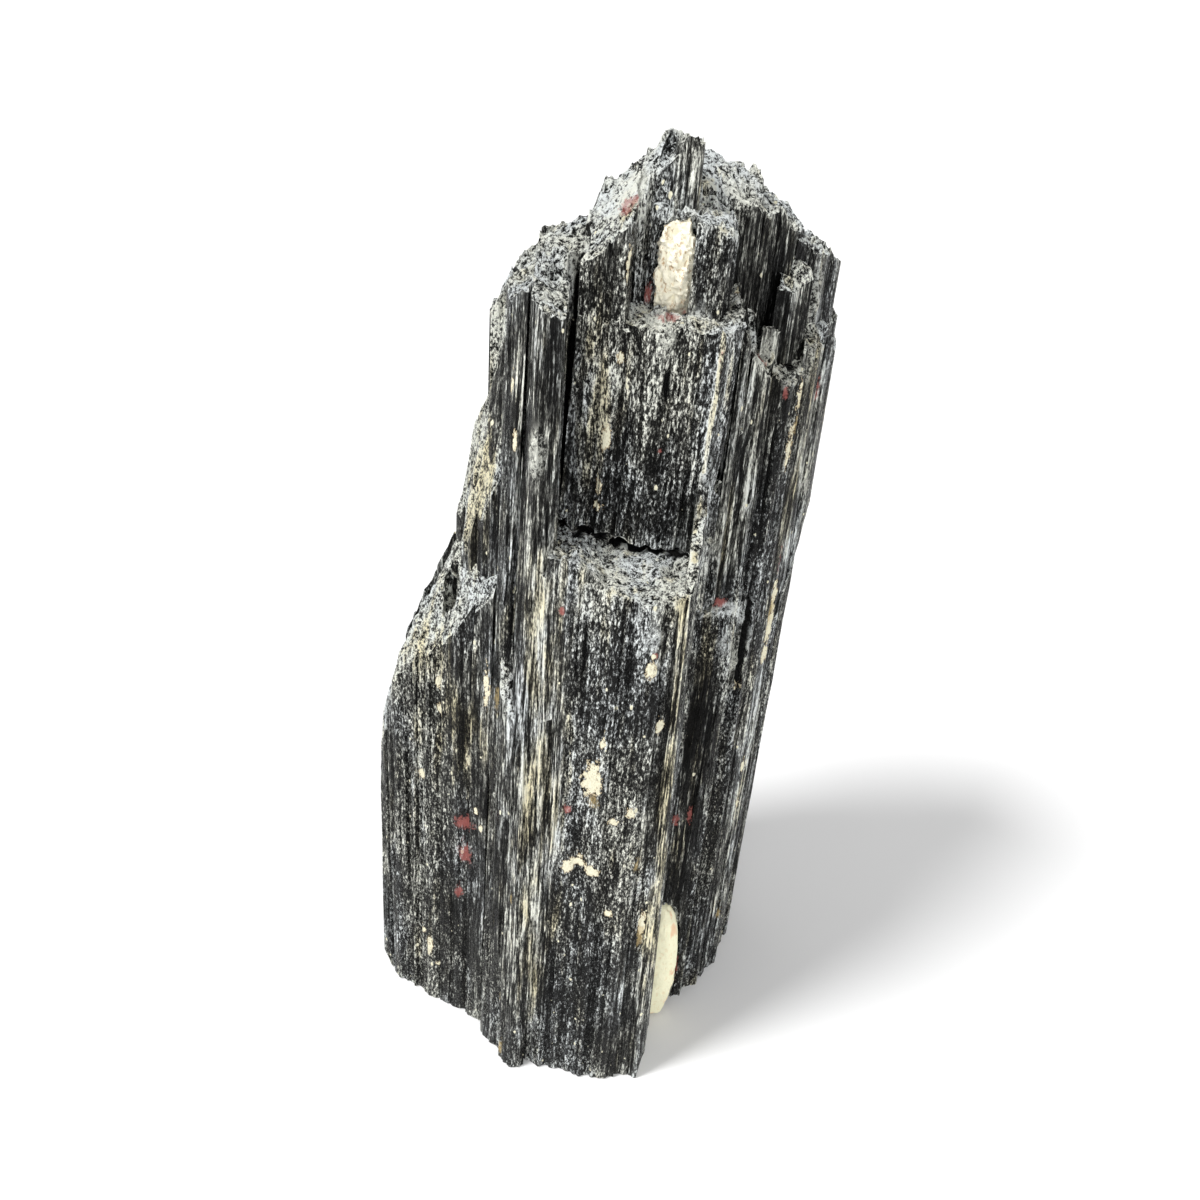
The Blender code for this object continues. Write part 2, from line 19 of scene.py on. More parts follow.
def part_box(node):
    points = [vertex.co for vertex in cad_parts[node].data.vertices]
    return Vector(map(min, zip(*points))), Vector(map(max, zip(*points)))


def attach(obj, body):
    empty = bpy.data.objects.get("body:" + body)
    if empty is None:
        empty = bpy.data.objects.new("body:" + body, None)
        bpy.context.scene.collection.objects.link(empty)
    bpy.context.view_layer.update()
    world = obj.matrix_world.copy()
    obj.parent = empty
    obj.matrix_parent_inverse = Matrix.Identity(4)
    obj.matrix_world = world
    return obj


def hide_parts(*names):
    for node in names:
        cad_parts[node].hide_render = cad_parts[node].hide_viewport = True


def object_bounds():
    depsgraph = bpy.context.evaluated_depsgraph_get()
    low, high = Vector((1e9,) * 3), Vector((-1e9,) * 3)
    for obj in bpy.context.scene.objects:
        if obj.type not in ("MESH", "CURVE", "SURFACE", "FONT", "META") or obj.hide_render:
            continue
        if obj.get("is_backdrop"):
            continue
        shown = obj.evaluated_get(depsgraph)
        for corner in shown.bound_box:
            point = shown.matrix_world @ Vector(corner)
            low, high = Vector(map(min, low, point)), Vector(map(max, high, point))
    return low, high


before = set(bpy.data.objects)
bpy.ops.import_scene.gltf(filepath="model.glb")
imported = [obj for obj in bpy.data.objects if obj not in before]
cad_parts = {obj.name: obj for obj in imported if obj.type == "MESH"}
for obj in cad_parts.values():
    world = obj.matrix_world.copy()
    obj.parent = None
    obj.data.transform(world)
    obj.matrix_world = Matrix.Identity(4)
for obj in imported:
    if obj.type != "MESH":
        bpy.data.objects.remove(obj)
SOLID_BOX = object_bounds()
MM = 0.001

for name, node in sorted(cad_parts.items()):
    low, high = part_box(name)
    size = (high - low) / MM
    print(f"{name}: {len(node.data.polygons)} faces, {size.x:.1f} x {size.y:.1f} x {size.z:.1f} mm")

# %% [markdown]
# ## The camera
#
# A specimen like this is looked at from above and in front, so that the tops of the prisms show.
# A camera in Blender looks down its own -Z. Turning it about X by 90 degrees makes it look level
# along +Y, and a little less than that makes it look down. A small turn about its own Z tilts the
# picture, as a hand-held camera does.

# %% Place the camera
EYE = Vector((1.18, -132.24, 145.6)) * MM
LOOK_DOWN = math.radians(32.0)
TILT = math.radians(4.643)
LENS = 37.05
SENSOR = 36.0
PICTURE_SIDE = 1200
NEAREST_SEEN = 5.0 * MM

camera_data = bpy.data.cameras.new("specimen camera")
camera_data.lens = LENS
camera_data.sensor_width = SENSOR
camera_data.clip_start = NEAREST_SEEN
camera = bpy.data.objects.new("specimen camera", camera_data)
bpy.context.scene.collection.objects.link(camera)
camera.matrix_world = (
    Matrix.Translation(EYE)
    @ Matrix.Rotation(math.pi / 2 - LOOK_DOWN, 4, "X")
    @ Matrix.Rotation(TILT, 4, "Z")
)
bpy.context.scene.camera = camera
print(f"camera {EYE.length / MM:.0f} mm from the foot, looking down {math.degrees(LOOK_DOWN):.0f} degrees")

# %% [markdown]
# ## Floor and light
#
# Black stone shows its shape only through what it reflects, so the light matters more than the
# colour. A bright, even surround gives the dark faces a faint sheen. A soft key light from the upper
# left rakes across the ribs and makes the grainy broken ends sparkle. A very broad fill light from
# the front keeps the grooves on the right from going fully black.

# %% Lay the floor and hang the lamps
FLOOR_SIDE = 8.0
FLOOR_DROP = 0.2 * MM
PAPER = (0.93, 0.93, 0.93)
PAPER_ROUGHNESS = 0.9
SKY_STRENGTH = 0.5
# strength, width in degrees, and where it comes from
LAMPS = {
    "key": (2.7, 16.0, Vector((-0.65, -0.35, 1.0))),
    "fill": (1.1, 60.0, Vector((0.25, -1.0, 0.55))),
}

paper = bpy.data.materials.new("pale paper")
paper.use_nodes = True
paper_shader = paper.node_tree.nodes["Principled BSDF"]
paper_shader.inputs["Base Color"].default_value = (*PAPER, 1.0)
paper_shader.inputs["Roughness"].default_value = PAPER_ROUGHNESS
bpy.ops.mesh.primitive_plane_add(size=FLOOR_SIDE, location=(0.0, 0.0, -FLOOR_DROP))
floor = bpy.context.active_object
floor.name = "pale_floor"
floor.data.materials.append(paper)
floor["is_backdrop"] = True

sky = bpy.data.worlds.new("studio surround")
sky.use_nodes = True
sky.node_tree.nodes["Background"].inputs["Color"].default_value = (1.0, 1.0, 1.0, 1.0)
sky.node_tree.nodes["Background"].inputs["Strength"].default_value = SKY_STRENGTH
bpy.context.scene.world = sky

for name, (strength, width, comes_from) in LAMPS.items():
    lamp_data = bpy.data.lights.new(name, "SUN")
    lamp_data.energy = strength
    lamp_data.angle = math.radians(width)
    lamp = bpy.data.objects.new(name, lamp_data)
    lamp.rotation_mode = "QUATERNION"
    lamp.rotation_quaternion = comes_from.to_track_quat("Z", "Y")
    bpy.context.scene.collection.objects.link(lamp)
bpy.context.scene.view_settings.view_transform = "Standard"
print("floor, surround and lamps:", ", ".join(LAMPS))

# %% [markdown]
# ## Slicing the stone
#
# Growth lines run along the prisms from end to end, so the mesh that carries them should too: fine
# across the prisms and coarse along them. A voxel remesh would make cubes of equal size and lose the
# crisp edges. Instead a copy of the solid is cut by a few level planes, and later by many upright
# ones. Each cut adds points exactly where the old faces are, so the shape doesn't change yet.

# %% Copy the solid
SAME_POINT = 0.001 * MM
FLAT_ENOUGH = math.radians(0.3)


def copy_of_solid(name):
    """A clean mesh of one solid: its points welded, and its triangles joined where they lie flat."""
    bm = bmesh.new()
    bm.from_mesh(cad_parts[name].data)
    bmesh.ops.remove_doubles(bm, verts=bm.verts[:], dist=SAME_POINT)
    bmesh.ops.dissolve_limit(bm, angle_limit=FLAT_ENOUGH, verts=bm.verts[:], edges=bm.edges[:])
    return bm


low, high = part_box("tourmaline_crystal")
stone = copy_of_solid("tourmaline_crystal")
base = {f for f in stone.faces if f.calc_center_bounds().z < SAME_POINT}
print(f"stone before it is cut: {len(stone.faces)} faces")

# %% Cut it at a few levels
LEVEL_HEIGHT = 5.0 * MM
CUT_SNAP = 0.02 * MM


def axis_vector(axis):
    normal = Vector((0.0, 0.0, 0.0))
    normal[axis] = 1.0
    return normal


def slice_all(bm, axis, places, base):
    """Cuts the whole mesh, apart from the flat base, by planes across one axis."""
    normal = axis_vector(axis)
    for place in places:
        parts = bm.verts[:] + bm.edges[:] + [f for f in bm.faces if f not in base]
        bmesh.ops.bisect_plane(bm, geom=parts, dist=CUT_SNAP, plane_co=normal * place, plane_no=normal)


def steps(low, high, step):
    """Evenly spaced places between two ends, half a step in from the first."""
    return [low + step * (n + 0.5) for n in range(int((high - low) / step))]


levels = steps(low.z, high.z, LEVEL_HEIGHT)
slice_all(stone, 2, levels, base)
print(f"stone cut at {len(levels)} levels: {len(stone.faces)} faces")

# %% [markdown]
# ## Drawing on the stone
#
# Stains, flecks and worn places follow the prisms, so each is an upright ellipse on the face where it
# lies. Typing their places in three dimensions would be slow and easy to get wrong. Instead each is
# drawn in the camera's picture, by its column and row, its half width and its half height in pixels. A
# ray from the camera through that place finds the stone, and the distance tells how big a pixel is
# there.

# %% Find a mark on the stone
PICTURE_FOCUS = LENS / SENSOR * PICTURE_SIDE

camera_turn = camera.matrix_world.to_3x3()
stone_tree = BVHTree.FromBMesh(stone)


def marks_on_stone(marks):
    """Each mark as a centre, a half width and a half height on the stone, and its strength if it has one."""
    middle = PICTURE_SIDE / 2
    found = []
    for column, row, half_width, half_height, *strength in marks:
        ray = camera_turn @ Vector((column - middle, middle - row, -PICTURE_FOCUS))
        point, _, _, distance = stone_tree.ray_cast(EYE, ray.normalized())
        if point is None:
            print("this mark misses the stone:", column, row)
            continue
        pixel = distance / PICTURE_FOCUS
        half_height = half_height * pixel / math.cos(LOOK_DOWN)
        found.append((point, half_width * pixel, half_height, *strength))
    return found


# %% [markdown]
# ## Flecks and stains
#
# Bits of cream feldspar stick to the stone, and iron has stained it red and ochre. They could be
# separate little meshes, but the real ones are mostly thin films, so here they are only colour.

# %% List the flecks and stains
# column, row, half width, half height
STAIN_MARKS = {
    "cream": [
        (628, 265, 4, 20), (622, 358, 5, 8), (606, 440, 6, 14), (599, 484, 5, 12), (597, 506, 6, 6),
        (651, 670, 8, 9), (653, 657, 3, 3), (660, 726, 5, 9), (592, 781, 11, 22), (631, 815, 5, 5),
        (613, 822, 6, 4), (487, 688, 5, 23), (439, 681, 4, 9), (441, 709, 4, 8), (421, 773, 5, 6),
        (475, 812, 3, 6), (481, 828, 3, 5), (469, 761, 3, 7), (499, 542, 3, 6), (567, 866, 6, 9),
        (578, 862, 11, 5), (592, 871, 8, 7), (608, 913, 5, 4), (430, 945, 4, 11), (424, 929, 3, 4),
        (439, 962, 3, 3), (642, 924, 4, 17), (743, 765, 3, 7), (737, 803, 3, 7), (737, 686, 5, 6),
        (799, 392, 4, 24), (789, 445, 4, 26), (738, 294, 4, 8), (774, 592, 4, 16), (769, 625, 5, 20),
        (764, 655, 4, 14), (512, 385, 3, 9), (515, 440, 3, 12), (576, 322, 3, 9), (603, 745, 4, 5),
    ],
    "red": [
        (464, 822, 12, 9), (466, 853, 10, 12), (459, 890, 5, 8), (567, 810, 6, 6), (676, 820, 4, 8),
        (690, 815, 3, 12), (785, 393, 4, 9), (817, 391, 4, 10), (648, 292, 6, 11), (668, 317, 13, 4),
        (720, 603, 9, 6), (655, 656, 4, 4), (629, 206, 13, 15), (675, 966, 4, 20), (563, 610, 4, 6),
        (723, 352, 2, 22), (660, 452, 3, 4), (760, 360, 8, 6), (779, 560, 2, 30),
    ],
    "ochre": [
        (500, 1046, 6, 11), (500, 998, 4, 8), (512, 898, 4, 8), (636, 865, 5, 12), (718, 914, 4, 10),
        (592, 800, 9, 9), (497, 700, 6, 16), (640, 935, 5, 18), (770, 612, 4, 24), (795, 420, 5, 40),
    ],
}
STAINS = {name: marks_on_stone(marks) for name, marks in STAIN_MARKS.items()}
for name, found in STAINS.items():
    print(f"{name}: {len(found)} marks on the stone")

# %% [markdown]
# ## Crumbs and grooves
#
# A few small forms stand out from the sides or go into them: rough crumbs of broken stone on the
# stepped ledges, narrow open cracks between prisms, and the dark undercut below the block. They are
# listed like the stains, with a height or a depth, and the points of the mesh are moved by it later.

# %% List the crumbs, the grooves and the smoother breaks
# column, row, half width, half height, and millimetres out
CRUMB_MARKS = [
    (738, 322, 8, 8, 0.6), (746, 333, 9, 9, 0.7), (756, 345, 9, 9, 0.7), (766, 357, 9, 9, 0.7),
    (778, 370, 9, 8, 0.7), (790, 380, 8, 8, 0.6), (704, 614, 6, 4, 0.4), (716, 612, 8, 4, 0.5),
    (730, 608, 8, 5, 0.5), (742, 620, 6, 6, 0.5), (748, 638, 6, 9, 0.5), (726, 642, 8, 8, 0.4),
    (734, 662, 7, 9, 0.5), (735, 688, 4, 5, 0.5), (662, 322, 11, 13, 0.4), (668, 341, 7, 8, 0.4),
    (640, 312, 10, 6, 0.3), (700, 318, 10, 6, 0.3), (815, 300, 6, 30, 0.5), (812, 350, 6, 26, 0.4),
    (585, 560, 16, 10, 0.4), (576, 592, 9, 22, 0.3), (535, 455, 9, 20, 0.3), (655, 640, 9, 9, 0.3),
]
# the same, and millimetres in
GROOVE_MARKS = [
    (512, 620, 4, 85, 1.0), (578, 300, 5, 30, 1.4), (571, 360, 5, 40, 1.4), (563, 430, 5, 50, 1.4),
    (559, 490, 5, 35, 1.2), (734, 385, 4, 26, 1.2), (728, 430, 4, 30, 1.2), (721, 475, 4, 30, 1.0),
    (668, 386, 4, 17, 0.9), (566, 525, 12, 5, 1.2), (584, 531, 12, 5, 1.2), (602, 537, 12, 5, 1.2),
    (620, 541, 12, 5, 1.2), (638, 545, 12, 5, 1.2), (656, 550, 12, 5, 1.2), (674, 554, 12, 5, 1.2),
    (790, 370, 11, 6, 1.2), (556, 800, 3, 90, 0.6), (585, 650, 3, 40, 0.6), (662, 640, 3, 60, 0.5),
    (745, 640, 4, 90, 0.8), (770, 470, 3, 60, 0.8), (466, 600, 3, 40, 0.6), (620, 420, 3, 60, 0.4),
]
# the same, and how much of the roughness is left out
SMOOTH_MARKS = [(625, 195, 26, 42, 0.9), (630, 578, 66, 30, 0.6), (590, 585, 30, 24, 0.5)]

GROOVES = marks_on_stone(GROOVE_MARKS)
SMOOTH_PLACES = marks_on_stone(SMOOTH_MARKS)
CRUMBS = marks_on_stone(CRUMB_MARKS)
print(f"{len(CRUMBS)} crumbs, {len(GROOVES)} grooves and {len(SMOOTH_PLACES)} smoother breaks on the stone")

# %% [markdown]
# ## Zones of wear and painted shade
#
# No two faces of the real stone look the same. Some are lined from end to end, some are only grainy,
# some are rubbed pale, and some have beige dust in their lines. One even finish all over would look
# like paint, so soft-edged zones, drawn in the same way, push the finish one way or the other. The
# wear zones make a face paler or darker, and two of the darker ones are painted shade: one in a
# groove, and one on a face that lies in shadow.

# %% List the zones
CRUMB_LOOKS_BROKEN = 0.6
# column, row, half width, half height, and how much more or less than elsewhere
ZONE_MARKS = {
    "wear_and_shade": [
        # painted shade: the negative zone at column 698, row 770 darkens a face that lies in shadow, and the
        # one at column 512, row 620 darkens a groove
        (527, 820, 36, 190, 0.28), (742, 770, 26, 130, 0.4), (698, 770, 13, 140, -0.35),
        (758, 280, 30, 60, -0.4), (545, 600, 22, 45, 0.25), (594, 400, 18, 80, 0.25),
        (635, 490, 50, 45, -0.25), (697, 600, 6, 260, 0.45), (800, 480, 24, 100, 0.3),
        (530, 400, 26, 90, 0.05), (440, 900, 40, 60, -0.1), (704, 270, 14, 40, 0.15),
        (765, 480, 14, 90, -0.35), (600, 1030, 40, 30, -0.1), (630, 860, 40, 60, 0.15),
        (622, 195, 22, 36, 0.7), (722, 350, 3, 26, 0.9), (714, 405, 3, 26, 0.9),
        (706, 455, 3, 28, 0.9), (700, 505, 3, 28, 0.9), (695, 560, 3, 30, 0.9),
        (728, 370, 8, 40, 0.25), (774, 430, 4, 50, 0.35), (512, 620, 3, 85, -1.0),
        (533, 700, 10, 120, 0.25), (600, 640, 12, 60, 0.25), (662, 325, 14, 18, 0.5),
        (740, 200, 60, 50, 0.35), (440, 850, 50, 200, 0.08), (745, 450, 34, 100, 0.12),
        (775, 345, 12, 14, 0.5), (755, 365, 14, 16, 0.5), (660, 200, 30, 60, 0.2),
        (820, 330, 12, 60, 0.3), (684, 600, 6, 50, 0.25), (676, 690, 7, 60, 0.25),
        (667, 790, 7, 60, 0.25), (658, 880, 8, 60, 0.25), (650, 970, 9, 60, 0.25),
        (643, 1040, 9, 50, 0.15), (728, 645, 26, 42, 0.35), (720, 610, 22, 6, 0.5),
        (635, 420, 60, 90, 0.2), (630, 578, 66, 26, 0.25),
        (600, 790, 26, 60, 0.25), (650, 660, 14, 26, 0.4), (560, 960, 30, 50, -0.2),
        (420, 860, 10, 110, 0.2), (455, 960, 20, 60, -0.2), (497, 900, 10, 90, -0.3),
        (590, 590, 30, 30, 0.2), (610, 690, 30, 40, -0.2), (535, 960, 8, 90, 0.3),
        (710, 560, 12, 30, 0.3),
    ],
    "beige": [
        (545, 620, 30, 80, 0.4), (540, 850, 22, 160, 0.4), (594, 400, 20, 90, 0.5),
        (480, 500, 26, 60, 0.9), (800, 450, 22, 90, 0.6), (460, 740, 26, 50, 0.6),
        (697, 720, 8, 200, 0.6), (425, 650, 22, 30, 0.6), (600, 220, 18, 40, -0.8),
        (480, 950, 16, 80, -0.5), (560, 250, 30, 40, -0.3), (722, 350, 3, 26, 1.0),
        (714, 405, 3, 26, 1.0), (706, 455, 3, 28, 1.0), (700, 505, 3, 28, 1.0),
        (695, 560, 3, 30, 1.0), (668, 780, 7, 90, 0.7), (684, 620, 6, 60, 0.6),
        (655, 920, 9, 90, 0.6),
    ],
    # lined from end to end (1) or only grainy (-1)
    "lined": [
        (527, 820, 36, 230, 1.0), (530, 430, 34, 130, 1.0), (697, 760, 14, 170, 1.0),
        (765, 300, 40, 80, 1.0), (745, 450, 30, 100, 0.8), (800, 480, 24, 110, 0.8),
        (690, 560, 8, 260, 1.0), (740, 800, 34, 150, 0.8), (684, 600, 6, 60, 1.0),
        (676, 690, 7, 70, 1.0), (667, 790, 7, 70, 1.0), (658, 880, 8, 70, 1.0),
        (650, 970, 9, 60, 1.0), (596, 840, 34, 240, -1.0), (430, 840, 45, 160, -0.4),
        (635, 470, 50, 70, -0.5), (728, 645, 26, 42, -1.0),
    ],
    # an upright face that looks broken (1), or a slanting one that looks whole (-1)
    "rough": [
        (560, 620, 22, 60, -1.0), (703, 500, 9, 50, -1.0), (703, 430, 8, 30, -1.0),
        (546, 262, 26, 26, 1.0), *((*crumb[:4], CRUMB_LOOKS_BROKEN) for crumb in CRUMB_MARKS),
    ],
}
ZONES = {name: marks_on_stone(marks) for name, marks in ZONE_MARKS.items()}
for name, found in ZONES.items():
    print(f"{name}: {len(found)} zones on the stone")

# %% [markdown]
# ## Finer cuts
#
# A fleck with a crisp edge needs points close together, and so does a crumb or a groove. Cutting the
# whole stone so finely would make millions of triangles. So level cuts are made only through the
# faces that pass near each mark. After that, upright cuts in both directions divide everything into
# columns a third of a millimetre wide, which is narrow enough to carry a growth line.

# %% Cut the stone finer round each mark
MARK_LEVELS = 8
MARK_REACH = 1.35


def faces_near(bm, centre, reach_across, reach_up):
    """Faces whose own box comes within reach of a point."""
    reach = (reach_across, reach_across, reach_up)
    near = []
    for face in bm.faces:
        corners = [v.co for v in face.verts]
        if all(
            min(corner[axis] for corner in corners) <= centre[axis] + reach[axis]
            and max(corner[axis] for corner in corners) >= centre[axis] - reach[axis]
            for axis in (2, 0, 1)
        ):
            near.append(face)
    return near


def slice_faces(bm, faces, axis, places):
    """Cuts some faces by planes across one axis."""
    normal = axis_vector(axis)
    region = set(faces)
    for place in places:
        edges = {e for f in region for e in f.edges}
        points = {v for e in edges for v in e.verts}
        parts = list(region) + list(edges) + list(points)
        cut = bmesh.ops.bisect_plane(bm, geom=parts, dist=CUT_SNAP, plane_co=normal * place, plane_no=normal)
        region = {g for g in cut["geom"] if isinstance(g, bmesh.types.BMFace)}


for found in (*STAINS.values(), GROOVES + CRUMBS):
    for centre, half_width, half_height, *_ in found:
        reach = MARK_REACH * half_height
        mark_levels = steps(centre.z - reach, centre.z + reach, 2 * reach / MARK_LEVELS)
        slice_faces(stone, faces_near(stone, centre, half_width, reach), 2, mark_levels)
print(f"stone cut near its marks: {len(stone.faces)} faces")

# %% Cut the stone into columns
COLUMN_WIDTH = 0.32 * MM

slice_all(stone, 0, steps(low.x, high.x, COLUMN_WIDTH), base)
slice_all(stone, 1, steps(low.y, high.y, COLUMN_WIDTH), base)
print(f"stone in columns: {len(stone.faces)} faces")

# %% [markdown]
# ## Growth lines and broken ends
#
# The sides of a tourmaline prism are ribbed like cloth: narrow flat facets, side by side, each a
# little in or out. The ends have snapped off, and look like a bundle of broken needles. Both are
# made by moving points. A side point moves in or out by an amount that changes quickly across the
# prism and hardly at all along it. An end point moves up or down in small patches, one to a needle.
#
# Blender's smooth noise gives soft swells. Its cell noise gives one number to each little cube of
# space, and so makes the flat steps and the sharp breaks.

# %% Shape the ribs of the sides
RIB_DEPTH = 0.34
LINE_DEPTH = 0.14
BEND_WIDTH = 0.5
# how often each pattern changes in a millimetre, across the prisms and along them
BENDS = (0.7, 0.02)
BROAD_RIBS = (0.75, 0.012)
NARROW_LINES = (1.5, 0.045)
FINE_LINES = (2.3, 0.10)


def squeezed(place, across, along):
    return Vector((place.x * across, place.y * across, place.z * along))


def rib(place):
    """How far a side stands out, in millimetres: broad ribs with narrow lines on them."""
    warp = BEND_WIDTH * noise.noise(squeezed(place, *BENDS))
    bent = Vector((place.x + warp, place.y - warp, place.z))
    broad = noise.noise(squeezed(bent, *BROAD_RIBS))
    line = noise.cell(squeezed(bent, *NARROW_LINES))
    fine = noise.noise(squeezed(bent, *FINE_LINES))
    return RIB_DEPTH * broad + LINE_DEPTH * (line + fine)


side_samples = [rib(Vector((0.1 * n, 0.0, 0.0))) for n in range(500)]
print(f"ribs from {min(side_samples):.2f} to {max(side_samples):.2f} mm")

# %% Shape the broken ends
NEEDLE_HEIGHT = 0.80
NEEDLE_WIDTH = 1.1
NEEDLE_BEND = 0.9
# the same at every height, so that a needle has one number from end to end
NEEDLE_LEVEL = 3.0
GRAIN_HEIGHT = 0.40
COARSE_GRAINS = 1.3
FINE_GRAINS = 2.7
FINE_SHARE = 0.7
CRACKS = 0.55
CRACK_RIM = 0.3
CRACK_SHARE = 1.5


def grain(place):
    """How far a broken end stands up, in millimetres: one height for each needle, and grains on top."""
    warp = noise.noise(place * NEEDLE_BEND)
    needle_place = Vector((place.x / NEEDLE_WIDTH + warp, place.y / NEEDLE_WIDTH - warp, NEEDLE_LEVEL))
    needle = noise.cell(needle_place)
    grains = noise.noise(place * COARSE_GRAINS) + FINE_SHARE * noise.noise(place * FINE_GRAINS)
    cracks = CRACK_RIM - abs(noise.noise(place * CRACKS))
    return NEEDLE_HEIGHT / 2 * needle + GRAIN_HEIGHT * (grains + CRACK_SHARE * cracks)


end_samples = [grain(Vector((0.1 * n, 0.0, 50.0))) for n in range(500)]
print(f"needles and grains from {min(end_samples):.2f} to {max(end_samples):.2f} mm")

# %% Tell the broken faces from the sides
BROKEN_FROM = 0.10

stone.normal_update()
broken_layer = stone.faces.layers.float.new("broken")
for face in stone.faces:
    face[broken_layer] = 1.0 if abs(face.normal.z) > BROKEN_FROM else 0.0
broken_faces = sum(face[broken_layer] for face in stone.faces)
print(f"{broken_faces:.0f} of {len(stone.faces)} faces are broken ends")

# %% [markdown]
# ## Moving the points
#
# Every point gets its move first, and only then do all of them move, so that no move depends on one
# made before it. How much of the ribs and how much of the grain a point takes depends on which way
# its face looks. The points at the foot keep their height, so that the stone still stands flat.

# %% Move the points of the stone
SIDE_GAIN = 1.3
END_GAIN = 1.6
SIDEWAYS_FROM = 0.05
FOOT_HEIGHT = 0.05
CRUMB_BODY = 0.6
CRUMB_PITS = 1.4
CRUMB_GRAIN = 1.6


def strongest_at(marks, place):
    """The strength of the strongest mark at a place: all of it in a mark's inner half, none outside."""
    strongest = 0.0
    for centre, half_width, half_height, strength in marks:
        away = place - centre / MM
        along = abs(away.z) * MM / half_height
        if along < 1.0:
            across = math.hypot(away.x, away.y) * MM / half_width
            share = min(1.0, 2.0 * (1.0 - math.hypot(across, along)))
            strongest = max(strongest, strength * share)
    return strongest


moves = []
sunk = []
for point in stone.verts:
    place = point.co / MM
    outward = Vector((point.normal.x, point.normal.y, 0.0))
    side = min(1.0, outward.length * SIDE_GAIN)
    end = min(1.0, abs(point.normal.z) * END_GAIN)
    groove = strongest_at(GROOVES, place)
    crumb = strongest_at(CRUMBS, place) * (CRUMB_BODY + CRUMB_PITS * noise.noise(place * CRUMB_GRAIN))
    move = Vector()
    if outward.length > SIDEWAYS_FROM:
        move = outward.normalized() * (rib(place) * side + crumb - groove)
    if place.z > FOOT_HEIGHT:
        rough = 1.0 - strongest_at(SMOOTH_PLACES, place)
        move.z = grain(place) * end * rough
    moves.append(move * MM)
    sunk.append(groove)

for point, move in zip(stone.verts, moves):
    point.co += move
    point.co.z = max(point.co.z, 0.0)
print(f"{len(moves)} points moved, the farthest by {max(m.length for m in moves) / MM:.2f} mm")

# %% [markdown]
# ## From mesh to piece
#
# What shows in the end is an object: a mesh, with a finish, at its place in the scene. It stands in
# for one of the solids, so it takes that solid's place and follows the same body. The stone has no
# moving parts, so every piece follows the root.

# %% Make the stone a piece
def finish_piece(name, bm, node, material):
    """Makes an object of a mesh, in place of a solid, with one finish."""
    mesh = bpy.data.meshes.new(name)
    bmesh.ops.triangulate(bm, faces=bm.faces[:])
    bm.to_mesh(mesh)
    bm.free()
    piece = bpy.data.objects.new(name, mesh)
    bpy.context.scene.collection.objects.link(piece)
    piece.data.materials.append(material)
    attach(piece, "root")
    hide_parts(node)
    print(f"{name}: {len(mesh.polygons)} triangles")
    return piece


tourmaline = bpy.data.materials.new("black tourmaline")
cluster = finish_piece("tourmaline_cluster", stone, "tourmaline_crystal", tourmaline)

# %% [markdown]
# ## What the finish has to know
#
# A finish sees only the spot that it colours. Where the stains lie, and which points stand out, can be
# painted into an image or stored on the mesh. An image needs the stone unfolded flat and blurs when
# seen close. Numbers stored on the points need neither, and the finish reads them by name.

# %% Store the stains
def points_of(mesh):
    """The places of a mesh's points, one row for each."""
    places = np.empty(len(mesh.vertices) * 3)
    mesh.vertices.foreach_get("co", places)
    return places.reshape(-1, 3)


def store(mesh, name, values):
    mesh.attributes.new(name, "FLOAT", "POINT").data.foreach_set("value", values)


def inside(places, centre, half_width, half_height):
    """1 at the middle of an upright ellipsoid, 0 at its edge, negative outside."""
    away = places - np.array(centre)
    across = np.hypot(away[:, 0], away[:, 1]) / half_width
    along = np.abs(away[:, 2]) / half_height
    return 1.0 - np.hypot(across, along)


stone_points = points_of(cluster.data)
for name, found in STAINS.items():
    depth = np.full(len(stone_points), -1.0)
    for mark in found:
        depth = np.maximum(depth, inside(stone_points, *mark))
    store(cluster.data, name, depth)
    print(f"{name}: on {np.mean(depth > 0.0):.1%} of the points")
store(cluster.data, "sunk", sunk)

# %% Store the zones
ZONE_REACH = 1.4
ZONE_EDGE = 2.5

for name, found in ZONES.items():
    total = np.zeros(len(stone_points))
    for centre, half_width, half_height, strength in found:
        zone = inside(stone_points, centre, half_width * ZONE_REACH, half_height * ZONE_REACH)
        total += strength * np.clip(zone * ZONE_EDGE, 0.0, 1.0)
    store(cluster.data, name, total)
    print(f"{name}: from {total.min():.2f} to {total.max():.2f}")

# %% [markdown]
# ## Crests
#
# Edges that stand out are rubbed pale first, so the finish has to know them. It paints them paler,
# part wear and part painted highlight, and paints the hollows between them darker, as painted shade.
# A point is a crest when it stands out from its neighbours along its normal, and lies in a hollow
# when it sinks below them. Near neighbours count for more than far ones.

# %% Find and store the crests
SHORTEST_REACH = 0.1 * MM
FULL_CREST = 0.06


def crests(mesh):
    """How far each point stands out from its neighbours across the stone, in millimetres."""
    places = points_of(mesh)
    normals = np.empty(len(places) * 3)
    mesh.vertices.foreach_get("normal", normals)
    normals = normals.reshape(-1, 3)
    ends = np.empty(len(mesh.edges) * 2, dtype=int)
    mesh.edges.foreach_get("vertices", ends)
    ends = ends.reshape(-1, 2)
    reach = np.linalg.norm(places[ends[:, 1]] - places[ends[:, 0]], axis=1)
    weight = 1.0 / (reach + SHORTEST_REACH) ** 2
    stand = np.zeros(len(places))
    total = np.zeros(len(places))
    for here, there in ((0, 1), (1, 0)):
        step = places[ends[:, here]] - places[ends[:, there]]
        height = np.sum(step * normals[ends[:, here]], axis=1)
        np.add.at(stand, ends[:, here], height * weight)
        np.add.at(total, ends[:, here], weight)
    return stand / np.maximum(total, 1.0) / MM


crest = crests(cluster.data)
store(cluster.data, "crest", np.clip(crest / FULL_CREST, -1.0, 1.0))
print("crests stand out by", np.percentile(crest, [5, 50, 95]).round(3), "mm")
